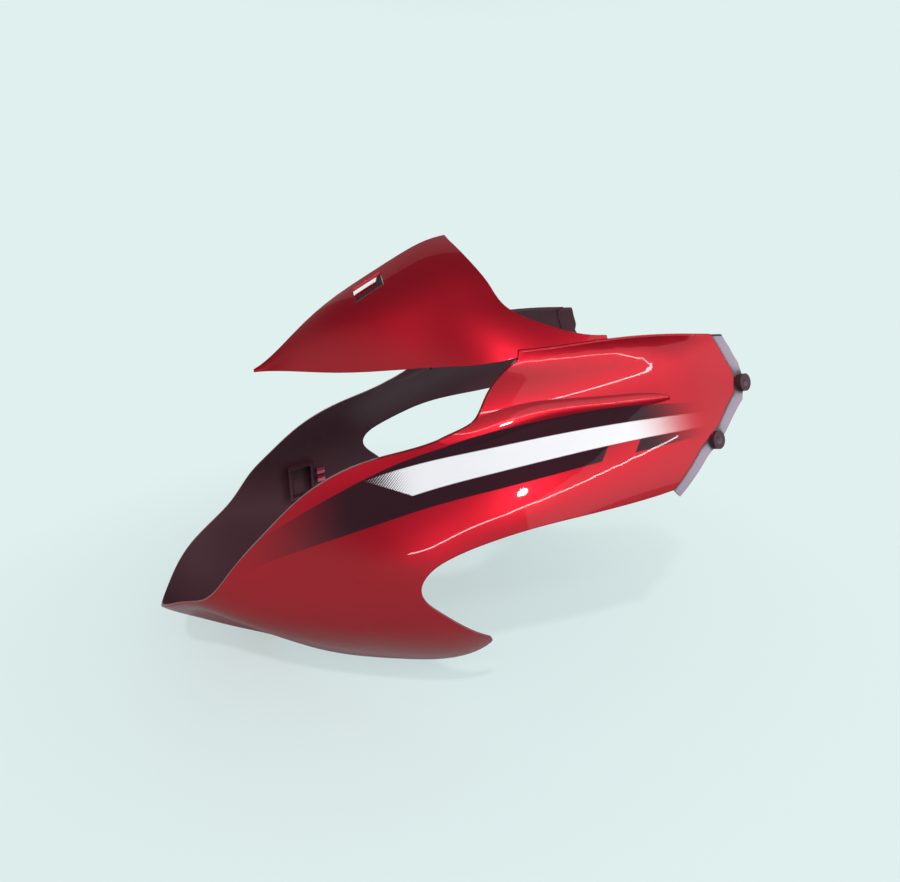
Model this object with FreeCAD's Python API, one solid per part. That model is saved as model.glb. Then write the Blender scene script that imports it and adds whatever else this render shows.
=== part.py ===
import FreeCAD, Part
import os
from math import hypot

V = FreeCAD.Vector

# Headlight visor, one injection moulding in 2.5 mm plastic, mirror-symmetric about the plane Y = 0.
# +X points to the rear of the machine, +Z is up. Working heights are measured from a level 16 mm under
# the hood peak; the finished shell is moved so that the centre of its bounding box is the origin.

wall = 2.5
section_knots = 21
joggle = 1.2
flange_reach = 8.0
flange_lap = 8.0
lug_d = 12.0
lug_hole_d = 5.5
lug_depth = 6.0
lug_upper = (292.0, -82.0)
lug_lower = (260.0, -114.5)

slot_x = 52.5
slot_y = 14.0
slot_length = 21.0
slot_width = 15.0

# Tapered flute along the character line of the cheek: x, z, width and depth of the cut at each station.
flute_rows = [(75, -100, 15, 1.0), (105, -108, 19, 2.0), (140, -97, 16, 2.6), (180, -91, 12, 2.4),
              (218, -87.5, 9, 1.8), (232, -87, 3, 0.6)]

clip_x = -8.0
clip_z = -216.0
clip_length = 24.0
clip_height = 34.0
clip_reach = 9.0
prong_x = 12.0
prong_gap = 8.0
rest_x = 138.0
rest_z = -101.0
rest_length = 24.0
rest_height = 12.0
rest_reach = 12.0

# One row per station of the lower body: x, keel z, then (y, z) of chine, widest point, upper cheek,
# shoulder crease and inner edge of the turned-in top strip.
body_rows = [
    (-130, -243, (26, -231), (57, -203), (62, -150), (58, -85), (50, -77)),
    (-95, -283, (36, -258), (70, -222), (76, -160), (64, -80), (56, -72)),
    (-50, -304, (47, -273), (97, -222), (85, -178), (62, -76), (55, -68)),
    (0, -314, (75, -282), (124, -212), (88, -150), (64, -71), (57, -63)),
    (55, -316, (113, -271), (150, -192), (93, -125), (74, -67), (67, -59)),
    (110, -314, (137, -252), (157, -164), (107, -103), (96, -69), (89, -60)),
    (150, -308, (149, -205), (160, -148), (122, -102), (107, -67), (101, -58)),
    (200, -300, (149, -188), (160.5, -138), (130.5, -94), (113, -60.5), (106, -52.5)),
    (255, -295, (148, -180), (157.5, -137), (136, -91), (117.5, -58), (111, -50.5)),
    (300, -290, (146, -176), (155, -137), (136.5, -90), (118, -57), (111.5, -50)),
]

# One row per station of the hood: x, ridge z, then (y, z) of the flank crease and of the lower edge.
hood_rows = [
    (-34, -80, (1.5, -82), (2.5, -87)),
    (0, -51.5, (13, -64), (22, -84)),
    (30, -27.5, (26.5, -45.5), (41.5, -83)),
    (60, -9, (39.5, -37), (59, -79.5)),
    (90, 8, (50, -30.5), (77, -76)),
    (120, 17, (59, -24), (96, -70.5)),
    (150, 18, (69.5, -25.5), (104.5, -65)),
    (180, 18.5, (80, -27), (106.5, -60)),
    (210, 19, (89.5, -28.5), (109, -56.5)),
]

# Side-view outlines as (x, z).
nose = (-121.5, -260)
front_rim = [nose, (-92, -231.5), (-77, -222), (-56, -197.5), (-33, -174.5), (-7, -152), (36.5, -130),
             (73, -119), (96, -109), (107.5, -101.5), (115.5, -88), (125, -74), (137, -64)]
rear_edge = [(272, -50), (284.5, -72.5), (285.5, -79), (283, -87), (264, -104.5), (245.5, -117), (223, -140.5)]
lower_edge = [(223, -140.5), (172, -148.5), (127, -156.3), (97, -166), (76, -175)]
notch_edge = [(64, -183.5), (60, -191.5), (62.5, -200), (70.5, -208), (87, -222.5)]
hook_edge = [(104, -237.5), (110.5, -246), (105.5, -255.5)]
chin_edge = [(93, -263.5), (75, -270), (52, -275.5), (15, -282), (-17, -288.5), (-34, -299), (-42, -318)]
brow_edge = [(-33, -82), (-7.5, -80), (20, -79), (79, -72.5), (109, -68.5), (137, -63)]
hood_rear = [(199, -49.5), (173, -46.5), (160, -42.5), (146, -37.2), (136.5, -30), (131.5, -18.5), (123.5, -3.4),
             (115, 12)]


def mirror(shape):
    return shape.mirror(V(0, 0, 0), V(0, 1, 0))


def both(shape):
    return shape.fuse(mirror(shape))


def spline_edge(points):
    curve = Part.BSplineCurve()
    curve.interpolate(points)
    return curve.toShape()


def section_edge(points):
    # The same number of evenly spaced knots in every body section, so that the skin needs few patches.
    curve = Part.BSplineCurve()
    curve.interpolate(points)
    even = curve.discretize(Number=section_knots)
    curve.interpolate(Points=even, Parameters=list(range(section_knots)))
    return curve.toShape()


def inset(points, distance):
    # Moves a half section, listed from the middle plane outwards, towards the inside of the shell.
    normals = []
    for a, b in zip(points, points[1:]):
        run = hypot(b[0] - a[0], b[1] - a[1])
        normals.append((-(b[1] - a[1]) / run, (b[0] - a[0]) / run))
    moved = []
    for i, p in enumerate(points):
        before = normals[max(i - 1, 0)]
        after = normals[min(i, len(normals) - 1)]
        n = (before[0] + after[0], before[1] + after[1])
        if i == 0 and p[0] == 0:
            n = (0.0, n[1])
        size = hypot(n[0], n[1])
        moved.append((p[0] + n[0] / size * distance, p[1] + n[1] / size * distance))
    return moved


def body_solid(distance, open_top):
    # Hull-like solid through the body stations, its skin moved inwards by distance.
    wires = []
    for row in body_rows:
        x = row[0]
        half = inset([(0, row[1])] + list(row[2:]), distance)
        curve = half[:-1]
        right = [V(x, y, z) for y, z in curve]
        left = [V(x, -y, z) for y, z in reversed(curve[1:])]
        tip_y, tip_z = half[-1]
        lid = tip_z + open_top
        skin = section_edge(left + right)
        path = [right[-1], V(x, tip_y, tip_z), V(x, tip_y, lid + 1), V(x, -tip_y, lid + 1),
                V(x, -tip_y, tip_z), left[0]]
        edges = [Part.makeLine(a, b) for a, b in zip(path, path[1:])]
        wires.append(Part.Wire([skin] + edges))
    return Part.makeLoft(wires, True, False)


def hood_solid(rows, distance, drop):
    # Roof-like solid through the hood stations; the lower edges run on down by drop.
    wires = []
    for row in rows:
        x = row[0]
        half = inset([(0, row[1])] + list(row[2:]), -distance)
        top, crease, foot = [V(x, y, z) for y, z in half]
        length = crease.sub(foot).Length
        foot = foot.add(foot.sub(crease) * (drop / length))
        up = V(0, 0, 1)
        out = V(0, 1, 0)
        roof = (top + crease) * 0.5 + (up * 0.9 + out * 0.4) * (top.sub(crease).Length * 0.07)
        flank = (crease + foot) * 0.5 + (out * 0.9 + up * 0.4) * (length * 0.04)
        m = [V(p.x, -p.y, p.z) for p in (top, roof, crease, flank, foot)]
        edges = [
            spline_edge([m[4], m[3], m[2]]),
            spline_edge([m[2], m[1], m[0]]),
            spline_edge([top, roof, crease]),
            spline_edge([crease, flank, foot]),
            Part.makeLine(foot, m[4]),
        ]
        wires.append(Part.Wire(edges))
    return Part.makeLoft(wires, True, False)


def side_prism(edges, half_width):
    face = Part.Face(Part.Wire(Part.__sortEdges__(edges)))
    face.translate(V(0, -half_width, 0))
    return face.extrude(V(0, 2 * half_width, 0))


def at(points):
    return [V(x, 0, z) for x, z in points]


def lines(points):
    return [Part.makeLine(a, b) for a, b in zip(points, points[1:])]


def skin_y(x, z):
    # Half-width of the outer skin of the lower body at a place in the side view.
    ray = Part.makeLine(V(x, 0, z), V(x, reach, z))
    return ray.common(hull).BoundBox.YMax


def flute(extra):
    # Tapered scoop with a round floor, laid into the cheek along the character line; extra grows it all round.
    out = V(0, 0.86, 0.5)
    side = V(0, -0.5, 0.86)
    wires = []
    for x, z, width, depth in flute_rows:
        middle = V(x, skin_y(x, z), z)
        lip = side * (width / 2 + extra)
        low, high = middle - lip, middle + lip
        lid = out * wall * 4
        floor = spline_edge([low, middle - out * (depth + extra), high])
        wires.append(Part.Wire([floor] + lines([high, high + lid, low + lid, low])))
    return Part.makeLoft(wires, True, False)


def beside(points, distance):
    # Polyline moved sideways, to the right of its direction when seen from the -Y side.
    moved = []
    for i, p in enumerate(points):
        a = points[max(i - 1, 0)]
        b = points[min(i + 1, len(points) - 1)]
        run = hypot(b[0] - a[0], b[1] - a[1])
        moved.append((p[0] - (b[1] - a[1]) / run * distance, p[1] + (b[0] - a[0]) / run * distance))
    return moved


reach = 200

body_edges = [spline_edge(at(front_rim))]
body_edges += lines(at([front_rim[-1], (145, -40), (268, -40), rear_edge[0]]))
body_edges += lines(at(rear_edge))
body_edges += [spline_edge(at(lower_edge + notch_edge + hook_edge + chin_edge))]
body_edges += lines(at([chin_edge[-1], (-50, -340), (-150, -340), (-150, nose[1]), nose]))
body_window = side_prism(body_edges, reach)

hood_edges = [spline_edge(at(brow_edge))]
hood_edges += lines(at([brow_edge[-1], (199, -57), hood_rear[0]]))
hood_edges += [spline_edge(at(hood_rear))]
hood_edges += lines(at([hood_rear[-1], (111, 30), (-50, 30), (-50, -82), brow_edge[0]]))
hood_window = side_prism(hood_edges, reach)

hull = body_solid(0, 0)
outer = hull.cut(both(flute(0)))
inner = body_solid(wall, 30).cut(both(flute(wall)))
cheeks = outer.cut(inner).common(body_window)

# The hood is hollow from a little behind its tip.
tip, second = hood_rows[0], hood_rows[1]
hollow_from = 0.55


def between(a, b):
    return a + (b - a) * hollow_from


first_hollow = (between(tip[0], second[0]), between(tip[1], second[1]),
                tuple(between(a, b) for a, b in zip(tip[2], second[2])),
                tuple(between(a, b) for a, b in zip(tip[3], second[3])))
hood_hollow = hood_solid([first_hollow] + hood_rows[1:], wall, 12)
hood = hood_solid(hood_rows, 0, 0).cut(hood_hollow).common(hood_window)

slot = Part.makeBox(slot_length, slot_width, 120, V(slot_x - slot_length / 2, slot_y - slot_width / 2, -60))
hood = hood.cut(both(slot))

# Stepped-in rear flange that tucks under the next panel, and its two screw lugs on each side.
flange_outer = beside(rear_edge, flange_reach)
flange_inner = beside(rear_edge, -flange_lap)
flange_path = at(flange_outer + flange_inner[::-1] + flange_outer[:1])
flange_window = side_prism(lines(flange_path), reach)
flange = body_solid(joggle, 0).common(flange_window).cut(body_solid(joggle + wall, 30))

sunk = joggle + wall / 2
upper = V(lug_upper[0], skin_y(*lug_upper) - sunk, lug_upper[1])
lower = V(lug_lower[0], skin_y(*lug_lower) - sunk, lug_lower[1])
down = lower.sub(upper)
pitch = down.Length
down.normalize()
axis = V(0, 1, 0)
axis = axis - down * axis.dot(down)
axis.normalize()
for centre in (upper, lower):
    lug = Part.makeCylinder(lug_d / 2, lug_depth, centre - axis * (lug_depth / 2), axis)
    flange = flange.fuse(both(lug))

# Features on the inside of the cheeks: clip socket, two-prong clip and upper rest.
solid_inside = body_solid(wall / 2, 0)
hollow_inside = body_solid(wall + clip_reach, 30)


def inner_block(x, z, length, height, deep):
    block = Part.makeBox(length, 2 * reach, height, V(x - length / 2, -reach, z - height / 2))
    return block.common(solid_inside).cut(deep)


socket = inner_block(clip_x, clip_z, clip_length, clip_height, hollow_inside)
pocket = Part.makeBox(clip_length - 2 * wall, 2 * reach, clip_height - 2 * wall,
                      V(clip_x - clip_length / 2 + wall, -reach, clip_z - clip_height / 2 + wall))
socket = socket.cut(pocket.common(body_solid(wall, 30)))
prongs = inner_block(prong_x, clip_z + prong_gap / 2, 8, 3, hollow_inside)
prongs = prongs.fuse(inner_block(prong_x, clip_z - prong_gap / 2, 8, 3, hollow_inside))
rest = inner_block(rest_x, rest_z, rest_length, rest_height, body_solid(wall + rest_reach, 30))
rest = rest.cut(both(flute(wall / 2)))

shell = cheeks.fuse([hood, flange, socket, prongs, rest])
for centre in (upper, lower):
    hole = Part.makeCylinder(lug_hole_d / 2, 30, centre - axis * 15, axis)
    shell = shell.cut(both(hole))
shell = shell.removeSplitter()

box = shell.optimalBoundingBox()
shell.translate(V(-box.Center.x, 0, -box.Center.z))
face_centre = (upper + lower) * 0.5 + axis * (lug_depth / 2) - V(box.Center.x, 0, box.Center.z)
print("pieces", len(shell.Solids), "valid", shell.isValid())
print("size", round(box.XLength, 2), round(box.YLength, 2), round(box.ZLength, 2), "moved by", box.Center)
print("lug pattern centre", face_centre, "axis", axis, "pitch", pitch)

os.makedirs("parts", exist_ok=True)
shell.exportStep("parts/visor_shell.step")
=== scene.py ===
from math import pi, radians

import bmesh
import bpy
import numpy as np
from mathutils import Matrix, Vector


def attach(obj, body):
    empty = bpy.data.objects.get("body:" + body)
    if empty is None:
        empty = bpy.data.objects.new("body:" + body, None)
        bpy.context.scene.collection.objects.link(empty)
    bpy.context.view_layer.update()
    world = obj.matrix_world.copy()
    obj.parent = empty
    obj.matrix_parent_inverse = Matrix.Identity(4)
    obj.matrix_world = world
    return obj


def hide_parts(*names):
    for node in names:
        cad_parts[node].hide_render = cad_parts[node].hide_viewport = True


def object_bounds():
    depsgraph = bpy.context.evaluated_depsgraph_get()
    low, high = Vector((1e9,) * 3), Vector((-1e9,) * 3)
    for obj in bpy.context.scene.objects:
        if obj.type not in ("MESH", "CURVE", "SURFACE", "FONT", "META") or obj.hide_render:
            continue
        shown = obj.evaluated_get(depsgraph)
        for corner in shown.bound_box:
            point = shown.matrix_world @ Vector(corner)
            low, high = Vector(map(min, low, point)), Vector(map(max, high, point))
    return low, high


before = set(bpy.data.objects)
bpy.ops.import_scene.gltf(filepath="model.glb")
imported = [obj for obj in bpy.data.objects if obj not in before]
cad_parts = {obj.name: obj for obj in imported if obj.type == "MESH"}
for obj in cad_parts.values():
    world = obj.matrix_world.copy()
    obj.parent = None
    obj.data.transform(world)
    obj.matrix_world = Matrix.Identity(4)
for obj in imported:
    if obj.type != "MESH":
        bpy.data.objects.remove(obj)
frameLow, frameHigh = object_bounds()
mm = 0.001
soft = {"interpolation_type": "SMOOTHSTEP"}  # every fade eases in and out


def linear(hexCode):
    values = [int(hexCode[i:i + 2], 16) / 255 for i in (1, 3, 5)]
    return [v / 12.92 if v <= 0.04045 else ((v + 0.055) / 1.055) ** 2.4 for v in values] + [1.0]


# Sets a node's inputs, by name or in their order. A socket or a node given as a value is linked.
def setInputs(tree, node, inputs):
    if isinstance(inputs, dict):
        pairs = [(node.inputs[name], value) for name, value in inputs.items()]
    else:
        pairs = list(zip([socket for socket in node.inputs if socket.enabled], inputs))
    for socket, value in pairs:
        if isinstance(value, bpy.types.Node):
            value = next(output for output in value.outputs if output.enabled)
        if isinstance(value, bpy.types.NodeSocket):
            tree.links.new(value, socket)
        else:
            socket.default_value = value


def addNode(tree, kind, inputs=(), **settings):
    node = tree.nodes.new("ShaderNode" + kind)
    for name, value in settings.items():
        setattr(node, name, value)
    setInputs(tree, node, inputs)
    return node


def newMaterial(name):
    material = bpy.data.materials.new(name)
    material.use_nodes = True
    return material, material.node_tree, material.node_tree.nodes["Principled BSDF"]


# The stripes printed on both cheeks, in millimetres in the side view.
stripeLook = {
    "black": "#2C171D",
    "white": "#E8E6E6",
    "edges": {  # each a parabola: height at x = 0, slope, bend
        "blackTop": (28.4, 0.343, -0.00111),
        "whiteTop": (22.7, 0.276, -0.00070),
        "whiteLow": (9.6, 0.315, -0.00076),
        "blackLow": (1.8, 0.310, -0.00061),
    },
    "edgeBlur": 0.3,
    "blackFront": (-150, -62),  # each fade runs along x from none to full
    "blackRear": (168, 118),
    "whiteFront": (-70, -8),
    "whiteRear": (180, 84),
    "whiteCut": (-3.5, -0.161),  # the white band's front end is cut on a slant: height at x = 0, slope
    "cutBlur": 0.5,
    "bareUnder": (50, 80),  # further back, the red and not the black shows between the white dots
    "gap": (91, 110),  # the red break in the lower black band, along x at gapHeight
    "gapHeight": 28,
    "gapSlant": 0.79,
    "dotPitch": 1.5,  # coarser than real print dots, so that they show
    "dotBlur": 0.3,
}


# Print dots on a slanted grid, as a height from 0 to 1 that a fading band is compared with.
def makeDots(tree, x, z):
    waves = []
    for operation in ("ADD", "SUBTRACT"):
        along = addNode(tree, "Math", [x, z], operation=operation)
        turn = addNode(tree, "Math", [along, 2 * pi / stripeLook["dotPitch"]], operation="MULTIPLY")
        waves.append(addNode(tree, "Math", [turn], operation="COSINE"))
    both = addNode(tree, "Math", waves, operation="ADD")
    return addNode(tree, "Math", [both, 0.25, 0.5], operation="MULTIPLY_ADD")


# The white band: broken up into dots at both ends, and cut on a slant at the front.
def makeWhite(tree, x, z, middle):
    height, slope = stripeLook["whiteCut"]
    cutLine = addNode(tree, "Math", [x, slope, height], operation="MULTIPLY_ADD")
    aboveCut = addNode(tree, "Math", [z, cutLine], operation="SUBTRACT")
    cut = addNode(tree, "MapRange", [aboveCut, -stripeLook["cutBlur"], stripeLook["cutBlur"]], **soft)
    start = addNode(tree, "MapRange", [x, *stripeLook["whiteFront"]], **soft)
    front = addNode(tree, "Math", [start, cut], operation="MULTIPLY")
    rear = addNode(tree, "MapRange", [x, *stripeLook["whiteRear"]], **soft)
    fade = addNode(tree, "Math", [front, rear], operation="MINIMUM")
    # Stretched past 0 and 1, so that a full band has no holes and an empty one no dots.
    blur = stripeLook["dotBlur"]
    share = addNode(tree, "Math", [fade, 1 + 2 * blur, -blur], operation="MULTIPLY_ADD")
    spare = addNode(tree, "Math", [share, makeDots(tree, x, z)], operation="SUBTRACT")
    dotted = addNode(tree, "MapRange", [spare, -blur, blur], **soft)
    return addNode(tree, "Math", [middle, dotted], operation="MULTIPLY")


# The black band around it: faded at both ends, with a slanted break below the white.
def makeBlack(tree, x, z, band, middle, aboveBreak):
    blur = stripeLook["edgeBlur"]
    start, end = stripeLook["gap"]
    level = addNode(tree, "Math", [z, stripeLook["gapHeight"]], operation="SUBTRACT")
    slanted = addNode(tree, "Math", [level, -stripeLook["gapSlant"], x], operation="MULTIPLY_ADD")
    before = addNode(tree, "MapRange", [slanted, start + blur, start - blur], **soft)
    after = addNode(tree, "MapRange", [slanted, end - blur, end + blur], **soft)
    beside = addNode(tree, "Math", [before, after], operation="ADD")
    unbroken = addNode(tree, "Math", [beside, aboveBreak], operation="MAXIMUM")
    front = addNode(tree, "MapRange", [x, *stripeLook["blackFront"]], **soft)
    rear = addNode(tree, "MapRange", [x, *stripeLook["blackRear"]], **soft)
    back = addNode(tree, "MapRange", [x, *stripeLook["bareUnder"]], **soft)
    cleared = addNode(tree, "Math", [middle, back], operation="MULTIPLY")
    kept = addNode(tree, "Math", [1.0, cleared], operation="SUBTRACT")
    black = band
    for share in (front, rear, unbroken, kept):
        black = addNode(tree, "Math", [black, share], operation="MULTIPLY")
    return black


# How far each spot is covered by black and by white, from 0 to 1.
def makeStripes(tree):
    place = addNode(tree, "TexCoord").outputs["Object"]
    axes = addNode(tree, "SeparateXYZ", [place]).outputs
    x = addNode(tree, "Math", [axes["X"], 1 / mm], operation="MULTIPLY")
    z = addNode(tree, "Math", [axes["Z"], 1 / mm], operation="MULTIPLY")
    blur = stripeLook["edgeBlur"]
    over = {}
    under = {}
    for name, (height, slope, bend) in stripeLook["edges"].items():
        run = addNode(tree, "Math", [x, bend, slope], operation="MULTIPLY_ADD")
        edge = addNode(tree, "Math", [x, run, height], operation="MULTIPLY_ADD")
        above = addNode(tree, "Math", [z, edge], operation="SUBTRACT")
        over[name] = addNode(tree, "MapRange", [above, -blur, blur], **soft)
        under[name] = addNode(tree, "MapRange", [above, blur, -blur], **soft)
    middle = addNode(tree, "Math", [over["whiteLow"], under["whiteTop"]], operation="MULTIPLY")
    band = addNode(tree, "Math", [over["blackLow"], under["blackTop"]], operation="MULTIPLY")
    white = makeWhite(tree, x, z, middle)
    return makeBlack(tree, x, z, band, middle, over["whiteLow"]), white


# The one moulding: its finishes, and how its faces are told apart.
shellLook = {
    "paint": "#A01522",
    "paintEdge": "#7A2430",
    "paintFlake": 0.75,  # share of metal flake in the red
    "paintRoughness": 0.4,
    "paintGloss": 0.2,
    "coatWeight": 0.42,
    "coatRoughness": 0.03,
    "edgeRound": 0.8 * mm,  # paint flows round the moulding's edges
    "plastic": "#46282F",
    "plasticRoughness": 0.5,
    "plasticGloss": 0.15,
    "grainWidth": 0.9 * mm,  # coarser than a real mould's grain, so that it shows
    "grainStrength": 0.2,
    # lighter pinkish red for the prongs: their red with a painted highlight laid over it
    "paintedLitBaseCoat": "#CC4A66",
    "baseCoatRoughness": 0.3,
    "peelWidth": 1.5 * mm,
    "peelStrength": 0.1,
    "bumpDepth": 0.1 * mm,
    "overspray": "#8F808E",
    "oversprayRoughness": 0.4,
    # the colour of the painted shade in corners, put in by ambient occlusion
    "paintedShade": "#2A1A22",
    "flangePaintedShade": (9 * mm, 0.86),  # how far a corner's painted shade reaches, and the openness at which it is full
    "lugPaintedShade": (2.5 * mm, 0.74),
    "unshadedFrom": 0.95,  # the openness at which none of the painted shade is left
    "weldDistance": 0.002 * mm,
    "edgeAngle": radians(15),  # faces that meet at less belong to one region
    "axisHeight": -5 * mm,  # outward means away from a line along x at this height
    "outwardShare": 0.35,
    "skinArea": 1e-3,  # a painted skin is larger than this, in square metres
    "rimWidth": 3.4 * mm,
    "flangeWidth": 14 * mm,
    "flangeFrom": 125 * mm,
    "lugArea": 5e-4,
    "boreSwell": -1 * mm,  # a bore's wall faces its own middle
    "prongs": ((-83 * mm, -71 * mm), (-79 * mm, -62 * mm)),  # where they lie in x and in z
}


# Candy red under a clear coat, deeper where it turns away, with the printed stripes on both cheeks.
def makePaint():
    material, tree, shader = newMaterial("clearCoatedRedPaint")
    black, white = makeStripes(tree)
    red = linear(shellLook["paint"])
    darkened = addNode(tree, "Mix", [black, red, linear(stripeLook["black"])], data_type="RGBA")
    colour = addNode(tree, "Mix", [white, darkened, linear(stripeLook["white"])], data_type="RGBA")
    printed = addNode(tree, "Math", [black, white], operation="MAXIMUM")
    bare = addNode(tree, "Math", [1.0, printed], operation="SUBTRACT")
    flake = addNode(tree, "Math", [bare, shellLook["paintFlake"]], operation="MULTIPLY")
    rounded = addNode(tree, "Bevel", [shellLook["edgeRound"]], samples=6)
    setInputs(tree, shader, {
        "Base Color": colour,
        "Metallic": flake,
        "Roughness": shellLook["paintRoughness"],
        "Specular IOR Level": shellLook["paintGloss"],
        "Specular Tint": linear(shellLook["paintEdge"]),
        "Coat Weight": shellLook["coatWeight"],
        "Coat Roughness": shellLook["coatRoughness"],
        "Normal": rounded,
        "Coat Normal": rounded,
    })
    return material


# Bare moulded plastic: the dull plum-brown inside of the shell, with a fine moulded grain.
def makePlastic():
    material, tree, shader = newMaterial("mouldedPlastic")
    place = addNode(tree, "TexCoord").outputs["Object"]
    grain = addNode(tree, "TexNoise", {"Vector": place, "Scale": 1 / shellLook["grainWidth"]})
    bumps = {"Strength": shellLook["grainStrength"], "Distance": shellLook["bumpDepth"], "Height": grain}
    setInputs(tree, shader, {
        "Base Color": linear(shellLook["plastic"]),
        "Roughness": shellLook["plasticRoughness"],
        "Specular IOR Level": shellLook["plasticGloss"],
        "Normal": addNode(tree, "Bump", bumps),
    })
    return material


# Red base coat without its clear coat, on the prongs, with a slight orange peel; its pinkish red is lighter
# than the red paint as a painted highlight, for the light that falls on the prongs.
def makePaintedLitBaseCoat():
    material, tree, shader = newMaterial("redBaseCoatPaintedLit")
    place = addNode(tree, "TexCoord").outputs["Object"]
    peel = addNode(tree, "TexNoise", {"Vector": place, "Scale": 1 / shellLook["peelWidth"]})
    bumps = {"Strength": shellLook["peelStrength"], "Distance": shellLook["bumpDepth"], "Height": peel}
    setInputs(tree, shader, {
        "Base Color": linear(shellLook["paintedLitBaseCoat"]),
        "Roughness": shellLook["baseCoatRoughness"],
        "Normal": addNode(tree, "Bump", bumps),
    })
    return material


# Thin paint dust on the stepped flange and in the lugs: pale lilac, half dull, with painted shade darkening
# the corners.
def makeOversprayWithShade(name, reach, shadedBelow):
    material, tree, shader = newMaterial(name)
    # painted shade: where little is open around a spot, its colour turns towards the shade colour
    openness = addNode(tree, "AmbientOcclusion", {"Distance": reach}, samples=16).outputs["AO"]
    unshaded = addNode(tree, "MapRange", [openness, shadedBelow, shellLook["unshadedFrom"]], **soft)
    dustAndShade = [linear(shellLook["paintedShade"]), linear(shellLook["overspray"])]
    setInputs(tree, shader, {
        "Base Color": addNode(tree, "Mix", [unshaded, *dustAndShade], data_type="RGBA"),
        "Roughness": shellLook["oversprayRoughness"],
    })
    return material


# Numbers the faces so that those which run smoothly into each other share a number.
def numberRegions(bm):
    numbers = {}
    count = 0
    for start in bm.faces:
        if start in numbers:
            continue
        numbers[start] = count
        waiting = [start]
        while waiting:
            for side in waiting.pop().edges:
                if side.calc_face_angle(pi) < shellLook["edgeAngle"]:  # pi if there is no second face
                    for other in side.link_faces:
                        if other not in numbers:
                            numbers[other] = count
                            waiting.append(other)
        count += 1
    return numbers, count


# Sums up each region: its area, middle and width, what lies beside it, and which way it faces and swells.
def measureRegions(numbers, count):
    sums = {"area": 0.0, "border": 0.0, "outward": 0.0, "swell": 0.0}
    regions = [{**sums, "middle": Vector(), "beside": set()} for i in range(count)]
    for face, number in numbers.items():
        region = regions[number]
        spot = face.calc_center_median()
        size = face.calc_area()
        out = Vector((0, spot.y, spot.z - shellLook["axisHeight"])).normalized()
        region["area"] += size
        region["middle"] += spot * size
        region["outward"] += face.normal.dot(out) * size
        for side in face.edges:
            for other in side.link_faces:
                if numbers[other] != number:
                    region["border"] += side.calc_length()
                    region["beside"].add(numbers[other])
    for region in regions:
        region["middle"] /= region["area"]
        region["outward"] /= region["area"]
        region["width"] = 2 * region["area"] / max(region["border"], 1e-9)
    for face, number in numbers.items():
        region = regions[number]
        arm = face.calc_center_median() - region["middle"]
        region["swell"] += face.normal.dot(arm) * face.calc_area() / region["area"]
    return regions


# Picks the finish of a region; the rims of the painted skins are painted with them.
def pickFinish(number, region, skins):
    small = region["area"] < shellLook["lugArea"]
    spot = region["middle"]
    if spot.x > shellLook["flangeFrom"]:
        if small:
            return "lugDustAndShade" if region["swell"] < shellLook["boreSwell"] else "plastic"
        if region["outward"] > 0 and region["width"] < shellLook["flangeWidth"]:
            return "flangeDustAndShade"
    elif small and all(low < at < high for at, (low, high) in zip((spot.x, spot.z), shellLook["prongs"])):
        return "paintedLitBaseCoat"
    edging = region["width"] < shellLook["rimWidth"] or region["outward"] > shellLook["outwardShare"]
    return "paint" if number in skins or (edging and region["beside"] & skins) else "plastic"


def finishRegions(numbers, count):
    regions = measureRegions(numbers, count)
    skins = set()
    for number, region in enumerate(regions):
        if region["outward"] > shellLook["outwardShare"] and region["area"] > shellLook["skinArea"]:
            skins.add(number)
    return [pickFinish(number, region, skins) for number, region in enumerate(regions)]


# Splits the mesh's points between the regions, with each one's first normal and its neighbours.
def splitPoints(mesh, numbers):
    index = {}
    places = []
    normals = []
    rings = []
    corners = []
    for polygon, number in zip(mesh.polygons, numbers):
        keys = []
        for vertex in polygon.vertices:
            key = index.setdefault((number, vertex), len(index))
            if key == len(places):
                places.append(mesh.vertices[vertex].co[:])
                normals.append(np.zeros(3))
                rings.append(set())
            normals[key] += np.array(polygon.normal) * polygon.area
            keys.append(key)
        for key in keys:
            rings[key].update(keys)
        corners.extend(keys)
    normals = np.array(normals)
    return np.array(places), normals / np.linalg.norm(normals, axis=1)[:, None], rings, corners


# The nearest points of two rings around each point, and how much each of them counts.
def nearPoints(places, rings):
    most = 36
    evenness = 0.2  # the larger, the more alike near and far points count
    around = np.zeros((len(places), most), int)
    weights = np.zeros((len(places), most))
    for key, ring in enumerate(rings):
        wide = np.array(sorted(set().union(*(rings[other] for other in ring)) - {key}))
        far = np.linalg.norm(places[wide] - places[key], axis=1)
        near = np.argsort(far)[:most]
        around[key, :len(near)] = wide[near]
        weights[key, :len(near)] = 1 / (evenness * far.max() + far[near]) ** 2
    return around, weights


# Gives each corner the direction of the smooth skin through the points around it, fitted as a shallow bowl.
def polish(mesh, numbers):
    places, normals, rings, corners = splitPoints(mesh, numbers)
    around, weights = nearPoints(places, rings)
    offX = np.abs(normals[:, :1]) < 0.7  # the axis to start from must lie well off the normal
    side = np.cross(normals, np.where(offX, [[1.0, 0, 0]], [[0, 1.0, 0]]))
    side /= np.linalg.norm(side, axis=1)[:, None]
    up = np.cross(normals, side)
    arms = places[around] - places[:, None]
    scale = np.maximum(np.where(weights > 0, np.linalg.norm(arms, axis=2), 0).max(axis=1), 1e-6)
    arms /= scale[:, None, None]
    weights *= scale[:, None] ** 2
    u, v, h = (np.einsum("nkc,nc->nk", arms, axis) for axis in (side, up, normals))
    terms = np.stack([u, v, u * u, u * v, v * v], axis=2)
    left = np.einsum("nk,nki,nkj->nij", weights, terms, terms) + np.eye(5) * 1e-3  # steadies thin strips
    right = np.einsum("nk,nki,nk->ni", weights, terms, h)
    slopes = np.linalg.solve(left, right[:, :, None])[:, :2, 0]
    normals = normals - side * slopes[:, :1] - up * slopes[:, 1:]
    normals /= np.linalg.norm(normals, axis=1)[:, None]
    mesh.normals_split_custom_set(normals[corners])


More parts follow.
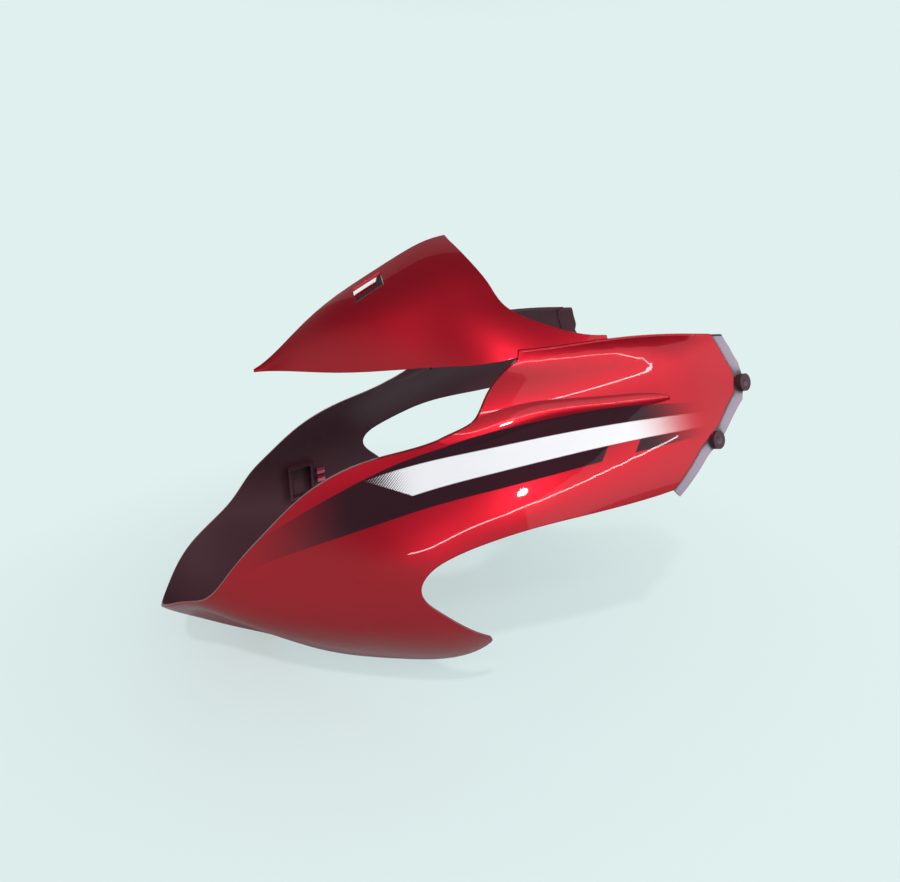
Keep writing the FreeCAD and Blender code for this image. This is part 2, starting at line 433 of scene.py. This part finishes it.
def makeShell():
    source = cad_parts["visor_shell"].data
    mesh = bpy.data.meshes.new("visorShell")
    mesh.from_pydata([v.co for v in source.vertices], [], [p.vertices for p in source.polygons])
    materials = {
        "paint": makePaint(),
        "plastic": makePlastic(),
        "flangeDustAndShade": makeOversprayWithShade("flangeOversprayAndShade", *shellLook["flangePaintedShade"]),
        "lugDustAndShade": makeOversprayWithShade("lugOversprayAndShade", *shellLook["lugPaintedShade"]),
        "paintedLitBaseCoat": makePaintedLitBaseCoat(),
    }
    for material in materials.values():
        mesh.materials.append(material)
    slots = {name: i for i, name in enumerate(materials)}

    bm = bmesh.new()
    bm.from_mesh(mesh)
    bmesh.ops.remove_doubles(bm, verts=bm.verts, dist=shellLook["weldDistance"])
    bmesh.ops.dissolve_degenerate(bm, edges=bm.edges, dist=shellLook["weldDistance"])
    bm.normal_update()
    numbers, count = numberRegions(bm)
    finishes = finishRegions(numbers, count)
    for face, number in numbers.items():
        face.material_index = slots[finishes[number]]
        face.smooth = True
    order = [numbers[face] for face in bm.faces]
    bm.to_mesh(mesh)
    bm.free()
    polish(mesh, order)

    shell = bpy.data.objects.new("visorShell", mesh)
    bpy.context.scene.collection.objects.link(shell)
    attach(shell, "root")
    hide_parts("visor_shell")


# A pale studio, in metres and watts.
stageLook = {
    "backdrop": "#E0F0EE",
    "ceiling": "#74687E",
    "ceilingRise": (0.3, 0.75),  # how far up a ray points where the backdrop turns into the ceiling
    "sky": "#B9C4DA",
    "skyShare": 0.35,
    "floorRadius": 3,
    "floorDrop": 1 * mm,
    "shadowRun": (0.55, 0.1),  # the shadow's strength grows from the first radius to the second
    "shadowShare": 0.4,
}
lampLook = {
    "keyPanel": {  # small, from above the near side
        "shape": "DISK",
        "place": (-0.32, -0.99, 1.22),
        "target": (0, 0, 0),
        "size": (0.09, 0.09),
        "power": 8.5,
    },
    "nearPanel": {  # wide, for an even light on the near cheek
        "shape": "RECTANGLE",
        "place": (0.75, -1.05, 0.62),
        "target": (0.05, -0.1, 0),
        "size": (2.3, 1.4),
        "power": 13,
    },
    "sideStrip": {  # thin, for line-like highlights
        "shape": "RECTANGLE",
        "place": (-0.02, -1.12, 0.94),
        "target": (0, -0.1, 0.03),
        "size": (1.9, 0.024),
        "power": 5.5,
    },
    "farFill": {  # large, from the far side
        "shape": "RECTANGLE",
        "place": (0.3, 1.3, 0.9),
        "target": (0, 0, 0),
        "size": (2.4, 2.4),
        "power": 8,
    },
}


def makeLamp(name, look):
    data = bpy.data.lights.new(name, "AREA")
    data.shape = look["shape"]
    data.size, data.size_y = look["size"]
    data.energy = look["power"]
    lamp = bpy.data.objects.new(name, data)
    lamp.location = look["place"]
    lamp.visible_camera = False
    lamp.rotation_euler = (Vector(look["target"]) - Vector(look["place"])).to_track_quat("-Z", "Y").to_euler()
    bpy.context.scene.collection.objects.link(lamp)


# Rays that look at the backdrop, mirror it or pass through to it.
def seenRays(tree):
    rays = addNode(tree, "LightPath").outputs
    seen = addNode(tree, "Math", [rays["Is Camera Ray"], rays["Is Glossy Ray"]], operation="MAXIMUM")
    return addNode(tree, "Math", [seen, rays["Is Transmission Ray"]], operation="MAXIMUM")


# A pale backdrop under a dimmer ceiling; the light that it gives is dimmer still.
def makeWorld():
    world = bpy.data.worlds.new("paleStudio")
    world.use_nodes = True
    bpy.context.scene.world = world
    tree = world.node_tree
    way = addNode(tree, "TexCoord").outputs["Generated"]
    upward = addNode(tree, "SeparateXYZ", [way]).outputs["Z"]
    rise = addNode(tree, "MapRange", [upward, *stageLook["ceilingRise"]], **soft)
    walls = [linear(stageLook["backdrop"]), linear(stageLook["ceiling"])]
    shown = addNode(tree, "Mix", [rise, *walls], data_type="RGBA")
    sky = [v * stageLook["skyShare"] for v in linear(stageLook["sky"])]
    colour = addNode(tree, "Mix", [seenRays(tree), sky, shown], data_type="RGBA")
    setInputs(tree, tree.nodes["Background"], {"Color": colour})


# A pale floor that runs out into the backdrop; its shadow is full in reflections and faint to the camera.
def makeFloor():
    material = bpy.data.materials.new("paleFloor")
    material.use_nodes = True
    tree = material.node_tree
    tree.nodes.clear()
    place = addNode(tree, "TexCoord").outputs["Object"]
    away = addNode(tree, "VectorMath", [place], operation="LENGTH")
    near = addNode(tree, "MapRange", [away, *stageLook["shadowRun"]], **soft)
    direct = addNode(tree, "LightPath").outputs["Is Camera Ray"]
    depth = addNode(tree, "Math", [direct, stageLook["shadowShare"] - 1, 1.0], operation="MULTIPLY_ADD")
    share = addNode(tree, "Math", [near, depth], operation="MULTIPLY")
    glow = addNode(tree, "Emission", [linear(stageLook["backdrop"])])
    lit = addNode(tree, "BsdfDiffuse", [linear(stageLook["backdrop"])])
    mixed = addNode(tree, "MixShader", [share, glow, lit])
    addNode(tree, "OutputMaterial", [addNode(tree, "MixShader", [seenRays(tree), lit, mixed])])

    spot = (0, 0, frameLow.z - stageLook["floorDrop"])
    radius = stageLook["floorRadius"]
    bpy.ops.mesh.primitive_circle_add(vertices=64, radius=radius, fill_type="NGON", location=spot)
    floor = bpy.context.object
    floor.name = "paleFloor"
    floor.data.materials.append(material)


def makeStage():
    makeWorld()
    makeFloor()
    for name, look in lampLook.items():
        makeLamp(name, look)
    bpy.context.scene.view_settings.view_transform = "Standard"


# The camera stands where the photograph was taken, 440 mm from the mirror plane.
cameraLook = {
    "place": Vector((-88.795, -440.0, 145.474)) * mm,
    "pitch": radians(71.81),
    "turn": radians(-15.09),
    "lens": 22.4,
    "nearest": 10 * mm,
}


def makeCamera():
    data = bpy.data.cameras.new("photoCamera")
    data.lens = cameraLook["lens"]
    data.clip_start = cameraLook["nearest"]
    camera = bpy.data.objects.new("photoCamera", data)
    camera.location = cameraLook["place"]
    camera.rotation_euler = (cameraLook["pitch"], 0, cameraLook["turn"])
    bpy.context.scene.collection.objects.link(camera)
    bpy.context.scene.camera = camera


makeShell()
print("shell made")
makeStage()
print("stage made")
makeCamera()
print("camera made")
